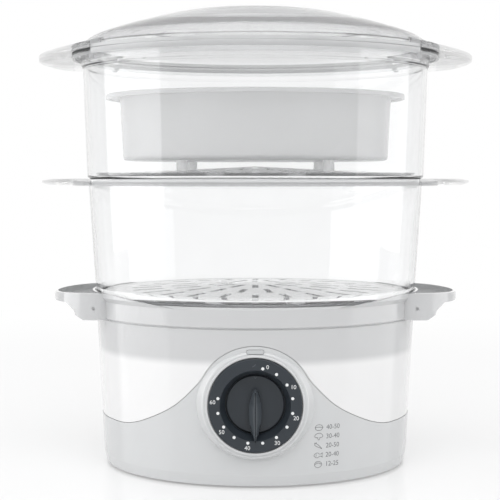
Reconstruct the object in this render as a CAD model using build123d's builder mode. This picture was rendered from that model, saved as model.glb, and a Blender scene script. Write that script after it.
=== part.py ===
from build123d import *
from math import cos, hypot, radians, sin
import os

# Electric food steamer, two clear baskets over a water base with a 60 minute timer.
# Millimetres. Origin: centre of the base where its feet meet the table. +Z is up, the dial looks to -Y.

os.makedirs("parts", exist_ok=True)

# ---------------------------------------------------------------- driving sizes of the base
foot_drop = 1.5  # rubber feet stand this far below the shell
base_height = 112.0  # table to the top of the rim
foot_radius = 101.6  # outer wall where it would meet the table
waist_radius = 107.2  # outer wall just under the rim band
band_height = 13.2
band_proud = 0.9
groove = 0.6  # shadow line under the band
rim_bevel = 1.4
shell_wall = 3.2
rim_wall = 3.2
ledge_drop = 12.0  # from the rim down to the ledge that carries the water tank's flange
ledge_thick = 2.6
ledge_width = 5.8

# side handles: shallow dishes that run out of the rim, hollow below
handle_reach = 28.6  # tip beyond the shell's waist
handle_inset = 4.1  # centre of the handles' ellipse inside the rim band
handle_half_width = 49.0
handle_rise = 4.2  # lip above the rim
handle_dish = 0.4  # floor of the dish above the rim
handle_skirt = 6.5  # height of the lip at the tip
# rounded edge of the handles, as places inside the tip and below the lip
handle_edge = [(1.5, handle_skirt), (0, 5.2), (0, 1.8), (1.6, 0.8), (8.0, 0.2), (14.0, 0)]
handle_plate = 2.2
handle_lip = 2.2
lip_proud = 2.0  # the lip runs on along the rim, this far outside its band
lip_run = [(96.0, -1.4), (86.0, 0.8), (70.0, 3.0)]  # off the middle, above the rim
lip_crest = 58.0
rim_gap = 1.0
web_thick = 3.0
drain_hole = 1.2
drain_setback = 2.2  # inside the waist
drain_rise = 7.5  # above the foot of the band
skirt_run = [(14.3, 0), (17.7, 2.8), (18.2, 5.4)]  # beyond the waist, above the foot of the band
skirt_reach = 22.3
web_run = [(4.8, 0), (9.4, 3.3), (16.3, 8.5)]

# bell-shaped control fascia, let into the front and round the foot of the shell
fascia_thick = 1.7
fascia_proud = 0.3
fascia_gap = 0.3
fascia_seat = 0.1  # air behind the fascia
skirt_top = 33.8
bevel_height = 6.5
bevel_depth = 1.1
dial_drop = 46.3  # from the rim band down to the dial's centre
pad_radius = 36.0
pad_proud = 2.624  # the dial's flat stands this far before the wall behind its centre
pad_flat = 32.4
pad_fall = 2.2  # the pad drops this much for each mm beyond its flat
pad_slope = 8.0
pad_round = 2.0
bell_foot = (88.0, skirt_top)
bell_run = [(78.0, 0.044), (62.5, 0.232), (47.5, 0.496), (38.0, 0.757)]  # place, share of the bell's rise
bell_join = 30.0  # degrees above the dial's centre line where the bell meets the pad

# dial: fixed scale ring with a finger dish, turning face with a pointer fin
dial_radius = 28.8
dial_proud = 2.2
seat_depth = 1.0
dial_gap = 0.4
bead_width = 1.7
bead_height = 1.5
dish_mouth = 21.7
dish_foot = 18.6
dish_depth = 7.5
dish_wall = 1.2
cup_radius = 22.9
cup_gap = 0.3
face_radius = 17.9
face_thick = 2.4
face_gap = 0.3
fin_width = 6.4
fin_crest = 1.3
fin_tail = 9.6
fin_foot = 16.8
fin_reach = 22.5
fin_proud = 2.2
edge_break = 0.6

# pilot lamp over the dial
lens_length = 10.6
lens_width = 2.5
lens_offset = 32.6
lens_proud = 0.8
lens_setback = 5.8
lamp_radius = 2.4
lamp_length = 12.0

# timer movement behind the dial
timer_size = 42.0
timer_depth = 25.0
timer_setback = 10.6  # the dial's flat to the timer's plate
timer_plate = 2.0
timer_screw_place = 26.0
seat_reach = 3.0
shaft_radius = 3.0
shaft_fit = 0.06
shaft_flat = 2.0
bell_radius = 16.0
bell_depth = 4.5

# fasteners
screw_radius = 1.5
screw_hole = 1.7
head_radius = 2.2
head_height = 1.6
big_head_radius = 3.2
post_radius = 4.2
post_place = 92.0
post_top = 40.0

# water tank and heater
tank_setback = 7.6  # room between the tank and the foot of the shell
tank_wall = 2.2
tank_floor = 46.0  # underside of the tank's floor
tank_floor_thick = 2.5
flange_thick = 2.0
flange_gap = 0.4
bay_side = 13.0  # room of the tank's bay beside, behind and over the timer
bay_depth = 10.6
bay_round = 8.0
bay_gap = 2.5
heater_radius = 30.0
heater_hole_gap = 1.0
heater_flange = 37.5
heater_flange_thick = 2.5
heater_rise = 5.0
gasket_thick = 1.5
gasket_overlap = 0.5
element_ring = 24.0
element_radius = 3.2
element_sweep = 300.0
pin_radius = 1.4
pin_drop = 9.0
clamp_radius = 47.0
clamp_inner = 33.0
clamp_thick = 1.5
clamp_screw_place = 42.5
clamp_boss = 4.2
thermostat_radius = 8.0
thermostat_height = 10.0
fuse_radius = 2.2
fuse_length = 15.0
seat_gap = 0.2  # air between stacked metal parts

# bottom cover
cover_thick = 2.5
cover_gap = 0.4
foot_place = 78.0
foot_size = 7.0
foot_stem = 3.0
vent_length = 26.0
vent_width = 3.0
vent_pitch = 8.0
vent_count = 5

# cord gland at the back, left without a cord
gland_height = 17.0
gland_radius = 5.0
gland_flange = 7.5
gland_bore = 3.3
gland_lip = 2.0

# steam ring round the heater
ring_radius = 41.0
ring_wall = 2.0
ring_height = 20.0
ring_port_width = 9.0
ring_port_height = 4.0
ring_ports = 4

# drip tray
tray_wall = 2.0
tray_depth = 20.0
tray_trough_setback = 4.0
tray_trough_inner = 60.0
tray_crown_rise = 0.5
tray_crown_radius = 44.0
tray_gap = 0.6
tray_slots = 12
tray_slot_length = 20.0
tray_slot_width = 3.5
tray_slot_place = 27.0

# baskets, lid and their grip tabs
clear_wall = 2.3
skirt_gap = 0.8  # radial air between a locating skirt and what it drops into
ring_reach = 5.8  # flanges beyond the upper basket's mouth
ring_plate = 2.0
ring_lip = 1.8
lower_height = 78.5
lower_corner = (3.2, 6.5)  # run and rise of the rounded corner
lower_setback = 0.6  # foot of the lower basket inside the rim band
lower_flare = 5.0
lower_lip_drop = 4.5
upper_height = 83.1
upper_corner = (2.0, 2.4)
upper_step = 0.7
upper_flare = 4.0
upper_lip_drop = 3.8
upper_skirt_drop = 6.0
step_height = 10.6  # the upper wall steps out this far below its flange
step_out = 1.1
step_run = 1.6
ledge_inner_drop = 6.0
tab_inset = 19.0  # centre of the grips' ellipse inside the flange
tab_half_width = 66.0
tab_plate = 2.0
tab_lip = 1.8
lower_tab_reach = 20.8
lower_tab_depth = 3.9
lower_tab_fall = 0.6
upper_tab_reach = 22.0
upper_tab_depth = 6.8
upper_tab_fall = 4.4
lid_tab_reach = 22.4
lid_tab_fall = 1.9
lid_tab_root_rise = 6.5

# perforated floors
floor_thick = 2.0
floor_gap = 1.2
floor_rise = 4.2
floor_lead = (2.5, 1.4)  # run and rise of the bevel that eases the floor into its basket
floor_rings = [(12, 24.0, 16.0), (18, 48.0, 18.0), (24, 74.0, 20.0)]
floor_slot_width = 4.0
finger_hole = (14.0, 8.0)
finger_place = (24.0, 90.5)

# rice bowl
bowl_setback = 24.0  # bowl inside the foot of its basket
bowl_flare = 2.2
bowl_rim_reach = 9.2
bowl_rise = 11.8
bowl_height = 44.1
bowl_wall = 2.0
bowl_corner = 3.0
bowl_rim_drop = 3.0
bowl_foot = (46.0, 70.0)
bowl_foot_radius = 3.5

# lid
lid_wall = 2.2
lid_flange = 2.0
lid_foot_rise = 5.0
lid_height = 29.9
lid_shoulder = (17.1, 14.8)  # inside the dome's foot, above the lid's rim
lid_crown = (51.1, 24.5)
lid_spring = (-1.0, 1.3)  # way the dome leaves its rim
lid_skirt_drop = 6.5
drip_ring_radius = 84.0
drip_ring_rise = 17.0
drip_ring_height = 2.5
vent_radius = 2.6
vent_spot = (65.0, 38.0)

# ---------------------------------------------------------------- shared relations
front = Plane.XZ  # its normal looks to the front, so offset(d) lies at y = -d
shell_bottom = foot_drop
band_bottom = base_height - band_height
ledge_top = base_height - ledge_drop
flare = (waist_radius - foot_radius) / band_bottom
band_radius = waist_radius + band_proud
rim_inner = band_radius - rim_wall
tank_radius = foot_radius - tank_setback
dial_height = band_bottom - dial_drop
pad_front = foot_radius + flare * dial_height + pad_proud
timer_front = pad_front - timer_setback
lens_back = pad_front - lens_setback
bay_half = timer_size / 2 + bay_side
bay_back = timer_front - timer_depth - bay_depth
bay_roof = dial_height + timer_size / 2 + bay_gap
dial_front = pad_front + dial_proud
dial_seat = pad_front - seat_depth
face_front = dial_front - dish_depth
cup_back = face_front - face_thick - face_gap - dish_wall
flange_top = ledge_top + flange_thick
tray_top = flange_top + tray_wall
tray_trough = tray_top - tray_depth
tray_crown = tray_top + tray_crown_rise
tray_trough_outer = tank_radius - tray_trough_setback
tank_floor_top = tank_floor + tank_floor_thick
heater_flange_top = tank_floor - gasket_thick
heater_bottom = heater_flange_top - heater_flange_thick
cover_top = shell_bottom + cover_thick
dial_cut = pad_front - timer_front + timer_depth + pad_slope
lower_bottom = base_height
lower_top = lower_bottom + lower_height
lower_foot_radius = band_radius - lower_setback
lower_top_radius = lower_foot_radius + lower_flare
upper_bottom = lower_top
upper_top = upper_bottom + upper_height
upper_foot_radius = lower_top_radius + upper_step
upper_top_radius = upper_foot_radius + upper_flare
ring_outer = upper_top_radius + ring_reach
tab_centre = ring_outer - tab_inset
lid_bottom = upper_top
lower_skirt_radius = rim_inner - skirt_gap
upper_skirt_radius = lower_top_radius - clear_wall - skirt_gap


def wall_radius(height):
    """Outer radius of the base shell at a height."""
    return foot_radius + flare * height


def shell_inner(height):
    return wall_radius(height) - shell_wall


def vertex_at(sketch, point):
    return sketch.vertices().sort_by_distance(point)[0]


def moved(run, gap):
    """Inner points of a run, each moved by a gap to the right of the way the run goes."""
    points = []
    for before, point, after in zip(run, run[1:], run[2:]):
        rise = after[1] - before[1]
        back = before[0] - after[0]
        share = gap / hypot(rise, back)
        points.append((point[0] + share * rise, point[1] + share * back))
    return points


def bell_outline(gap):
    """Face of the fascia seen from the front, grown by a gap."""
    reach = pad_radius + gap
    foot = (bell_foot[0], skirt_top + gap)
    join = (reach * cos(radians(bell_join)), dial_height + reach * sin(radians(bell_join)))
    side = wall_radius(band_bottom) + 2 * pad_slope
    rise = dial_height + pad_radius * sin(radians(bell_join)) - skirt_top
    run = [(place, skirt_top + share * rise) for place, share in bell_run]
    with BuildSketch(front) as outline:
        with BuildLine():
            Line((0, 0), (side, 0))
            Line((side, 0), (side, skirt_top + gap))
            Line((side, skirt_top + gap), foot)
            Spline(
                foot,
                *moved([bell_foot, *run, join], gap),
                join,
                tangents=[(-1, 0), (-sin(radians(bell_join)), cos(radians(bell_join)))],
            )
            RadiusArc(join, (0, dial_height + reach), -reach)
            Line((0, dial_height + reach), (0, 0))
        make_face()
        mirror(about=Plane.YZ)
    return outline


def bell_region(gap):
    """Space that the fascia takes: the bell in front, and a band right round the foot."""
    with BuildPart() as region:
        with BuildSketch(front):
            add(bell_outline(gap).sketch_local)
        extrude(amount=pad_front + 2 * pad_slope)
        with BuildSketch(Plane.XY.offset(-foot_drop)):
            Circle(pad_front + 2 * pad_slope)
        extrude(amount=skirt_top + gap + foot_drop)
    return region


def dial_plane(distance):
    """Plane across the dial's axis at a distance in front of the base's axis."""
    return Plane(origin=(0, -distance, dial_height), x_dir=(1, 0, 0), z_dir=(0, -1, 0))


def grip_tabs(centre, tip, profile, under, root):
    """Two grips, left and right: a flared skirt cut to elliptical plans, hollow below its plate."""
    low = min(z for _, z in profile)
    rise = max(z for _, z in profile) - low
    with BuildPart() as pocket:
        with BuildSketch(front):
            with BuildLine():
                Polyline(*under, close=True)
            make_face()
        revolve(axis=Axis.Z)
        with BuildSketch(Plane.XY.offset(low - 2 * tab_lip)):
            with GridLocations(2 * centre, 0, 2, 1):
                Ellipse(tip - centre - tab_lip, tab_half_width - tab_lip)
        extrude(amount=rise + 4 * tab_lip, mode=Mode.INTERSECT)
    with BuildPart() as tabs:
        with BuildSketch(front):
            with BuildLine():
                Polyline(*profile, close=True)
            make_face()
        revolve(axis=Axis.Z)
        with BuildSketch(Plane.XY.offset(low)):
            with GridLocations(2 * centre, 0, 2, 1):
                Ellipse(tip - centre, tab_half_width)
        extrude(amount=rise, mode=Mode.INTERSECT)
        add(pocket.part, mode=Mode.SUBTRACT)
        with BuildSketch(Plane.XY.offset(low - tab_lip)):
            Circle(root)
        extrude(amount=rise + 2 * tab_lip, mode=Mode.SUBTRACT)
    return tabs


# ---------------------------------------------------------------- base shell
handle_tip = waist_radius + handle_reach
handle_top = base_height + handle_rise
handle_floor = base_height + handle_dish
handle_bottom = handle_top - handle_skirt
handle_centre = band_radius - handle_inset
handle_inner = waist_radius - shell_wall / 2
handle_root = lower_foot_radius + rim_gap
drain_place = waist_radius - drain_setback
drain_height = band_bottom + drain_rise


def handle_plan(inset):
    """Plan of both handles, each an ellipse drawn in by an inset."""
    with BuildSketch() as plan:
        with GridLocations(2 * handle_centre, 0, 2, 1):
            Ellipse(handle_tip - handle_centre - inset, handle_half_width - inset)
    return plan


with BuildPart() as handles:
    with BuildSketch(front):
        with BuildLine():
            Polyline(
                (handle_inner, band_bottom),
                *[(waist_radius + out, band_bottom + up) for out, up in skirt_run],
                (waist_radius + skirt_reach, handle_bottom),
                *[(handle_tip - inward, handle_top - down) for inward, down in handle_edge],
                (handle_inner, handle_top),
                close=True,
            )
        make_face()
    revolve(axis=Axis.Z)
    with BuildSketch(Plane.XY.offset(band_bottom)):
        add(handle_plan(0).sketch)
    extrude(amount=handle_top - band_bottom, mode=Mode.INTERSECT)
    # dish above, pocket for the fingers below
    with BuildSketch(Plane.XY.offset(handle_floor)):
        add(handle_plan(handle_lip).sketch)
    extrude(amount=handle_top, mode=Mode.SUBTRACT)
    with BuildSketch(Plane.XY.offset(band_bottom)):
        add(handle_plan(tab_lip).sketch)
    extrude(amount=handle_floor - handle_plate - band_bottom, mode=Mode.SUBTRACT)
    # a web stiffens the middle of the pocket
    with BuildSketch(front):
        with BuildLine():
            Polyline(
                (handle_inner, band_bottom),
                *[(waist_radius + out, band_bottom + up) for out, up in web_run],
                (waist_radius + web_run[-1][0], handle_floor - handle_plate / 2),
                (handle_inner, handle_floor - handle_plate / 2),
                close=True,
            )
        make_face()
        mirror(about=Plane.YZ)
    extrude(amount=web_thick / 2, both=True)
    # drain holes through the front and back of the skirts
    with BuildSketch(front):
        with Locations((drain_place, drain_height), (-drain_place, drain_height)):
            Circle(drain_hole)
    extrude(amount=handle_half_width, both=True, mode=Mode.SUBTRACT)
    with BuildSketch(Plane.XY.offset(base_height)):
        Circle(handle_root)
    extrude(amount=base_height, mode=Mode.SUBTRACT)

# the lip of the handles runs on along the rim and falls away to its front and back
with BuildPart() as rim_lip:
    with BuildSketch(front):
        with BuildLine():
            Polyline(
                (handle_inner, base_height - rim_bevel),
                (band_radius, base_height - rim_bevel),
                (band_radius + lip_proud, base_height + rim_bevel),
                (band_radius + lip_proud, handle_top),
                (handle_root, handle_top),
                (handle_root, base_height),
                (handle_inner, base_height),
                close=True,
            )
        make_face()
    revolve(axis=Axis.Z)
    with BuildSketch(Plane.YZ):
        with BuildLine():
            swoop = [*[(-off, base_height + rise) for off, rise in lip_run], (-lip_crest, handle_top)]
            Spline(*swoop, tangents=[(1, 0.2), (1, 0)])
            Line(swoop[-1], (lip_crest, handle_top))
            Spline(*[(-y, z) for y, z in swoop], tangents=[(-1, 0.2), (-1, 0)])
            Line((lip_run[0][0], base_height + lip_run[0][1]), swoop[0])
        make_face()
    extrude(amount=handle_tip, both=True, mode=Mode.INTERSECT)

with BuildPart() as base_housing:
    add(handles.part)
    add(rim_lip.part)
    with BuildSketch(front) as shell_profile:
        with BuildLine():
            Polyline(
                (shell_inner(shell_bottom), shell_bottom),
                (wall_radius(shell_bottom), shell_bottom),
                (wall_radius(band_bottom - groove), band_bottom - groove),
                (waist_radius - groove, band_bottom),
                (band_radius, band_bottom + 2 * groove),
                (band_radius, base_height),
                (rim_inner, base_height),
                (rim_inner, ledge_top),
                (rim_inner - ledge_width, ledge_top),
                (rim_inner - ledge_width, ledge_top - ledge_thick),
                (shell_inner(ledge_top - ledge_thick), ledge_top - ledge_thick),
                close=True,
            )
        make_face()
        chamfer(vertex_at(shell_profile, (band_radius, base_height)), rim_bevel)
    revolve(axis=Axis.Z)
    # posts for the bottom cover's screws, tied to the wall by ribs
    with BuildSketch(Plane.XY.offset(cover_top)):
        with PolarLocations(post_place, 4, start_angle=45):
            Circle(post_radius)
            with Locations((post_radius, 0)):
                Rectangle(2 * post_radius, web_thick)
    extrude(amount=post_top - cover_top)
    with BuildSketch(Plane.XY.offset(cover_top)):
        with PolarLocations(post_place, 4, start_angle=45):
            Circle(screw_radius)
    extrude(amount=post_top / 2, mode=Mode.SUBTRACT)
    # flat seats for the timer's plate
    with BuildSketch(dial_plane(timer_front)):
        with Locations((timer_screw_place, 0), (-timer_screw_place, 0)):
            Circle(post_radius)
    extrude(amount=seat_reach)

with BuildPart() as fascia_recess:
    with BuildSketch(front):
        with BuildLine():
            Polyline(
                (wall_radius(0) - fascia_thick - fascia_seat, 0),
                (waist_radius + pad_slope, 0),
                (waist_radius + pad_slope, band_bottom),
                (waist_radius - fascia_thick - fascia_seat, band_bottom),
                close=True,
            )
        make_face()
    revolve(axis=Axis.Z)
    add(bell_region(fascia_gap).part, mode=Mode.INTERSECT)

with BuildPart() as shell_cut:
    add(base_housing.part)
    add(fascia_recess.part, mode=Mode.SUBTRACT)
    with BuildSketch(dial_plane(timer_front - timer_depth)):
        Circle(cup_radius + cup_gap)
        with Locations((timer_screw_place, 0), (-timer_screw_place, 0)):
            Circle(screw_hole)
        with Locations((0, lens_offset)):
            SlotOverall(lens_length + 2 * seat_gap, lens_width + 2 * seat_gap)
    extrude(amount=dial_cut, mode=Mode.SUBTRACT)
    with BuildSketch(Plane(origin=(0, post_place, gland_height), x_dir=(1, 0, 0), z_dir=(0, 1, 0))):
        Circle(gland_radius + cup_gap)
    extrude(amount=band_radius - post_place, mode=Mode.SUBTRACT)
shell_cut.part.label = "base_housing"
export_step(shell_cut.part, "parts/base_housing.step")

# ---------------------------------------------------------------- control fascia
with BuildPart() as control_fascia:
    with BuildSketch(front):
        with BuildLine():
            Polyline(
                (0, shell_bottom),
                (wall_radius(shell_bottom) + fascia_proud - bevel_depth, shell_bottom),
                (wall_radius(shell_bottom + bevel_height) + fascia_proud, shell_bottom + bevel_height),
                (waist_radius + fascia_proud, band_bottom),
                (0, band_bottom),
                close=True,
            )
        make_face()
    revolve(axis=Axis.Z)
    # the dial's flat stands on a soft cone that runs out into the bell
    with BuildSketch(Plane.YZ) as pad_profile:
        with BuildLine():
            Polyline(
                (-pad_front, dial_height),
                (-pad_front, dial_height + pad_flat),
                (pad_fall * 2 * pad_slope - pad_front, dial_height + pad_flat + 2 * pad_slope),
                (pad_fall * 2 * pad_slope - pad_front, dial_height),
                close=True,
            )
        make_face()
        fillet(vertex_at(pad_profile, (-pad_front, dial_height + pad_flat)), pad_round)
    revolve(axis=Axis((0, 0, dial_height), (0, 1, 0)))
    add(bell_region(0).part, mode=Mode.INTERSECT)
    with BuildSketch(dial_plane(pad_front - seat_depth)):
        Circle(dial_radius + dial_gap + bead_width)
        Circle(dial_radius + dial_gap, mode=Mode.SUBTRACT)
    extrude(amount=bead_height + seat_depth)
    with BuildSketch(front):
        with BuildLine():
            Polyline(
                (0, -foot_drop),
                (wall_radius(-foot_drop) - fascia_thick, -foot_drop),
                (wall_radius(base_height) - fascia_thick, base_height),
                (0, base_height),
                close=True,
            )
        make_face()
    revolve(axis=Axis.Z, mode=Mode.SUBTRACT)
    with BuildSketch(dial_plane(dial_seat)):
        Circle(dial_radius + dial_gap)
    extrude(amount=pad_slope, mode=Mode.SUBTRACT)
    with BuildSketch(dial_plane(timer_front - timer_depth)):
        Circle(cup_radius + cup_gap)
        with Locations((timer_screw_place, 0), (-timer_screw_place, 0)):
            Circle(screw_hole)
    extrude(amount=dial_cut, mode=Mode.SUBTRACT)
    with BuildSketch(dial_plane(dial_seat - head_height - seat_gap)):
        with Locations((timer_screw_place, 0), (-timer_screw_place, 0)):
            Circle(head_radius + seat_gap)
    extrude(amount=pad_slope, mode=Mode.SUBTRACT)
    with BuildSketch(dial_plane(timer_front)):
        with Locations((0, lens_offset)):
            SlotOverall(lens_length + 2 * seat_gap, lens_width + 2 * seat_gap)
    extrude(amount=dial_cut, mode=Mode.SUBTRACT)
    with BuildSketch(Plane(origin=(0, post_place, gland_height), x_dir=(1, 0, 0), z_dir=(0, 1, 0))):
        Circle(gland_radius + cup_gap)
    extrude(amount=band_radius - post_place, mode=Mode.SUBTRACT)
    bead_top = control_fascia.faces().sort_by(Axis.Y)[0]
    fillet(bead_top.edges(), bead_width / 3)
control_fascia.part.label = "control_fascia"
export_step(control_fascia.part, "parts/control_fascia.step")

# ---------------------------------------------------------------- dial ring
with BuildPart() as dial_ring:
    with BuildSketch(Plane.YZ):
        with BuildLine():
            Polyline(
                (-dial_front, dial_height + dish_mouth),
                (-dial_front, dial_height + dial_radius),
                (-dial_seat, dial_height + dial_radius),
                (-dial_seat, dial_height + cup_radius),
                (-cup_back, dial_height + cup_radius),
                (-cup_back, dial_height + shaft_radius + 1),
                (-cup_back - dish_wall, dial_height + shaft_radius + 1),
                (-cup_back - dish_wall, dial_height + dish_foot),
                (-face_front, dial_height + dish_foot),
                close=True,
            )
        make_face()
    revolve(axis=Axis((0, 0, dial_height), (0, 1, 0)))
    rim_edges = dial_ring.edges().filter_by(GeomType.CIRCLE).group_by(Axis.Y)[0]
    fillet(rim_edges.sort_by(SortBy.RADIUS)[-1:], edge_break)
dial_ring.part.label = "dial_ring"
export_step(dial_ring.part, "parts/dial_ring.step")


# ---------------------------------------------------------------- timer knob
def fin_section(distance, width, tail, reach):
    """Lens-shaped slice of the pointer fin at a distance in front of the axis."""
    with BuildSketch(dial_plane(distance)) as section:
        with BuildLine():
            ThreePointArc((0, tail), (width / 2, (tail - reach) / 2), (0, -reach))
            ThreePointArc((0, -reach), (-width / 2, (tail - reach) / 2), (0, tail))
        make_face()
    return section


with BuildPart() as timer_knob:
    with BuildSketch(dial_plane(face_front)):
        Circle(face_radius)
    extrude(amount=-face_thick)
    chamfer(timer_knob.edges().group_by(Axis.Y)[0], edge_break)
    add(fin_section(face_front - face_thick / 2, fin_width, fin_tail, fin_foot).sketch)
    add(fin_section(dial_front + fin_proud, fin_crest, fin_tail - 1.2, fin_reach).sketch)
    loft()
    with BuildSketch(dial_plane(face_front - face_thick)):
        Circle(shaft_radius + seat_gap / 10)
        with Locations((0, shaft_radius + shaft_flat)):
            Rectangle(2 * shaft_radius, 2 * shaft_radius, mode=Mode.SUBTRACT)
    extrude(amount=face_thick + 1, mode=Mode.SUBTRACT)
timer_knob.part.label = "timer_knob"
export_step(timer_knob.part, "parts/timer_knob.step")

# shaft with a flat, from inside the movement to the knob
with BuildPart() as timer_shaft:
    with BuildSketch(dial_plane(timer_front - timer_depth / 2)):
        Circle(shaft_radius)
    extrude(amount=face_front - timer_front + timer_depth / 2 + 0.8)
    with BuildSketch(dial_plane(timer_front + 0.3)):
        with Locations((0, shaft_radius + shaft_flat)):
            Rectangle(2 * shaft_radius, 2 * shaft_radius)
    extrude(amount=2 * pad_slope, mode=Mode.SUBTRACT)
timer_shaft.part.label = "timer_shaft"
export_step(timer_shaft.part, "parts/timer_shaft.step")

# ---------------------------------------------------------------- timer movement
with BuildPart() as timer_case:
    with BuildSketch(dial_plane(timer_front - timer_plate)):
        RectangleRounded(timer_size, timer_size, timer_plate)
    extrude(amount=timer_plate - timer_depth)
    with BuildSketch(dial_plane(timer_front)):
        RectangleRounded(timer_size, timer_size, timer_plate)
        SlotOverall(2 * (timer_screw_place + post_radius), 2 * post_radius)
    extrude(amount=-timer_plate)
    with BuildSketch(dial_plane(timer_front)):
        Circle(shaft_radius + shaft_fit)
    extrude(amount=-timer_depth / 2 - seat_gap, mode=Mode.SUBTRACT)
    with BuildSketch(dial_plane(timer_front)):
        with Locations((timer_screw_place, 0), (-timer_screw_place, 0)):
            Circle(screw_radius + seat_gap / 4)
    extrude(amount=-timer_plate, mode=Mode.SUBTRACT)
timer_case.part.label = "timer_case"
export_step(timer_case.part, "parts/timer_case.step")

# dished gong on the back of the movement
with BuildPart() as timer_gong:
    gong_back = timer_front - timer_depth - seat_gap
    with BuildSketch(Plane.YZ):
        with BuildLine():
            Polyline(
                (-gong_back, dial_height),
                (-gong_back, dial_height + bell_radius / 3),
                (1 - gong_back, dial_height + bell_radius / 3),
                (bell_depth / 2 - gong_back, dial_height + bell_radius),
                (bell_depth - gong_back, dial_height + bell_radius),
                (bell_depth - gong_back, dial_height + bell_radius - 1),
                (bell_depth - 1 - gong_back, dial_height),
                close=True,
            )
        make_face()
    revolve(axis=Axis((0, 0, dial_height), (0, 1, 0)))
timer_gong.part.label = "timer_gong"
export_step(timer_gong.part, "parts/timer_gong.step")

# spade terminals on the movement's lower side
with BuildPart() as timer_terminals:
    terminal_drop = 7.0
    with BuildSketch(Plane.XY.offset(dial_height - timer_size / 2 - seat_gap)):
        with Locations((12, -timer_front + timer_depth / 2), (-12, -timer_front + timer_depth / 2)):
            Rectangle(6.3, 0.8)
    extrude(amount=-terminal_drop)
timer_terminals.part.label = "timer_terminals"
export_step(timer_terminals.part, "parts/timer_terminals.step")

# two screws that clamp the fascia, the shell and the timer's plate
with BuildPart() as timer_screws:
    with BuildSketch(dial_plane(dial_seat - head_height - seat_gap)):
        with Locations((timer_screw_place, 0), (-timer_screw_place, 0)):
            Circle(head_radius)
    extrude(amount=head_height)
    with BuildSketch(dial_plane(timer_front - timer_plate - head_height)):
        with Locations((timer_screw_place, 0), (-timer_screw_place, 0)):
            Circle(screw_radius)
    extrude(amount=dial_seat - timer_front + timer_plate)
timer_screws.part.label = "timer_screws"
export_step(timer_screws.part, "parts/timer_screws.step")

# ---------------------------------------------------------------- pilot lamp
with BuildPart() as pilot_lens:
    with BuildSketch(dial_plane(lens_back)):
        with Locations((0, lens_offset)):
            SlotOverall(lens_length, lens_width)
    extrude(amount=wall_radius(dial_height + lens_offset) + fascia_proud + lens_proud - lens_back)
    fillet(pilot_lens.edges().group_by(Axis.Y)[0], lens_proud / 2)
pilot_lens.part.label = "pilot_lens"
export_step(pilot_lens.part, "parts/pilot_lens.step")

# neon lamp lying across the back of its lens
with BuildPart() as pilot_lamp:
    lamp_plane = Plane(
        origin=(-lamp_length / 2, -(lens_back - lamp_radius - seat_gap), dial_height + lens_offset),
        x_dir=(0, 1, 0),
        z_dir=(1, 0, 0),
    )
    with BuildSketch(lamp_plane):
        Circle(lamp_radius)
    extrude(amount=lamp_length)
    fillet(pilot_lamp.edges().group_by(Axis.X)[0], lamp_radius / 2)
    with BuildSketch(lamp_plane.offset(lamp_length)):
        with GridLocations(lamp_radius, 0, 2, 1):
            Circle(pin_radius / 4)
    extrude(amount=2 * lamp_radius)
pilot_lamp.part.label = "pilot_lamp"
export_step(pilot_lamp.part, "parts/pilot_lamp.step")

# ---------------------------------------------------------------- water tank


def tank_plan(inset):
    """Plan of the tank: a circle with a bay that clears the timer."""
    with BuildSketch() as plan:
        Circle(tank_radius - inset)
        with Locations((0, -(bay_back - inset) - tank_radius / 2)):
            RectangleRounded(
                2 * (bay_half + inset), tank_radius + 4 * inset, bay_round, mode=Mode.SUBTRACT
            )
    return plan


with BuildPart() as water_tank:
    with BuildSketch(Plane.XY.offset(tank_floor)):
        add(tank_plan(0).sketch)
    extrude(amount=bay_roof - tank_floor)
    with BuildSketch(Plane.XY.offset(bay_roof)):
        Circle(tank_radius)
    extrude(amount=flange_top - bay_roof)
    with BuildSketch(Plane.XY.offset(ledge_top)):
        Circle(rim_inner - flange_gap)
    extrude(amount=flange_thick)
    with BuildSketch(Plane.XY.offset(tank_floor_top)):
        add(tank_plan(tank_wall).sketch)
    extrude(amount=flange_top - tank_floor_top, mode=Mode.SUBTRACT)
    with BuildSketch(Plane.XY.offset(bay_roof + tank_wall)):
        Circle(tank_radius - tank_wall)
    extrude(amount=flange_top - bay_roof, mode=Mode.SUBTRACT)
    with BuildSketch(Plane.XY.offset(tank_floor)):
        with PolarLocations(clamp_screw_place, 3, start_angle=30):
            Circle(clamp_boss)
    extrude(amount=heater_bottom + seat_gap - tank_floor)
    with BuildSketch(Plane.XY.offset(heater_bottom)):
        with PolarLocations(clamp_screw_place, 3, start_angle=30):
            Circle(screw_radius)
    extrude(amount=tank_floor - heater_bottom, mode=Mode.SUBTRACT)
    with BuildSketch(Plane.XY.offset(tank_floor)):
        Circle(heater_radius + heater_hole_gap)
    extrude(amount=tank_floor_thick, mode=Mode.SUBTRACT)
water_tank.part.label = "water_tank"
export_step(water_tank.part, "parts/water_tank.step")

# ---------------------------------------------------------------- heater
with BuildPart() as heater_plate:
    with BuildSketch(front):
        with BuildLine():
            Polyline(
                (0, heater_bottom),
                (heater_flange, heater_bottom),
                (heater_flange, heater_flange_top),
                (heater_radius, heater_flange_top),
                (heater_radius, tank_floor_top + heater_rise - 2),
                (heater_radius - 2, tank_floor_top + heater_rise),
                (heater_radius / 2, tank_floor_top + heater_rise),
                (heater_radius / 2 - 2, tank_floor_top + 2),
                (0, tank_floor_top + 2),
                close=True,
            )
        make_face()
    revolve(axis=Axis.Z)
heater_plate.part.label = "heater_plate"
export_step(heater_plate.part, "parts/heater_plate.step")

with BuildPart() as heater_gasket:
    with BuildSketch(Plane.XY.offset(heater_flange_top)):
        Circle(heater_flange)
        Circle(heater_radius + heater_hole_gap + gasket_overlap, mode=Mode.SUBTRACT)
    extrude(amount=gasket_thick)
heater_gasket.part.label = "heater_gasket"
export_step(heater_gasket.part, "parts/heater_gasket.step")

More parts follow.
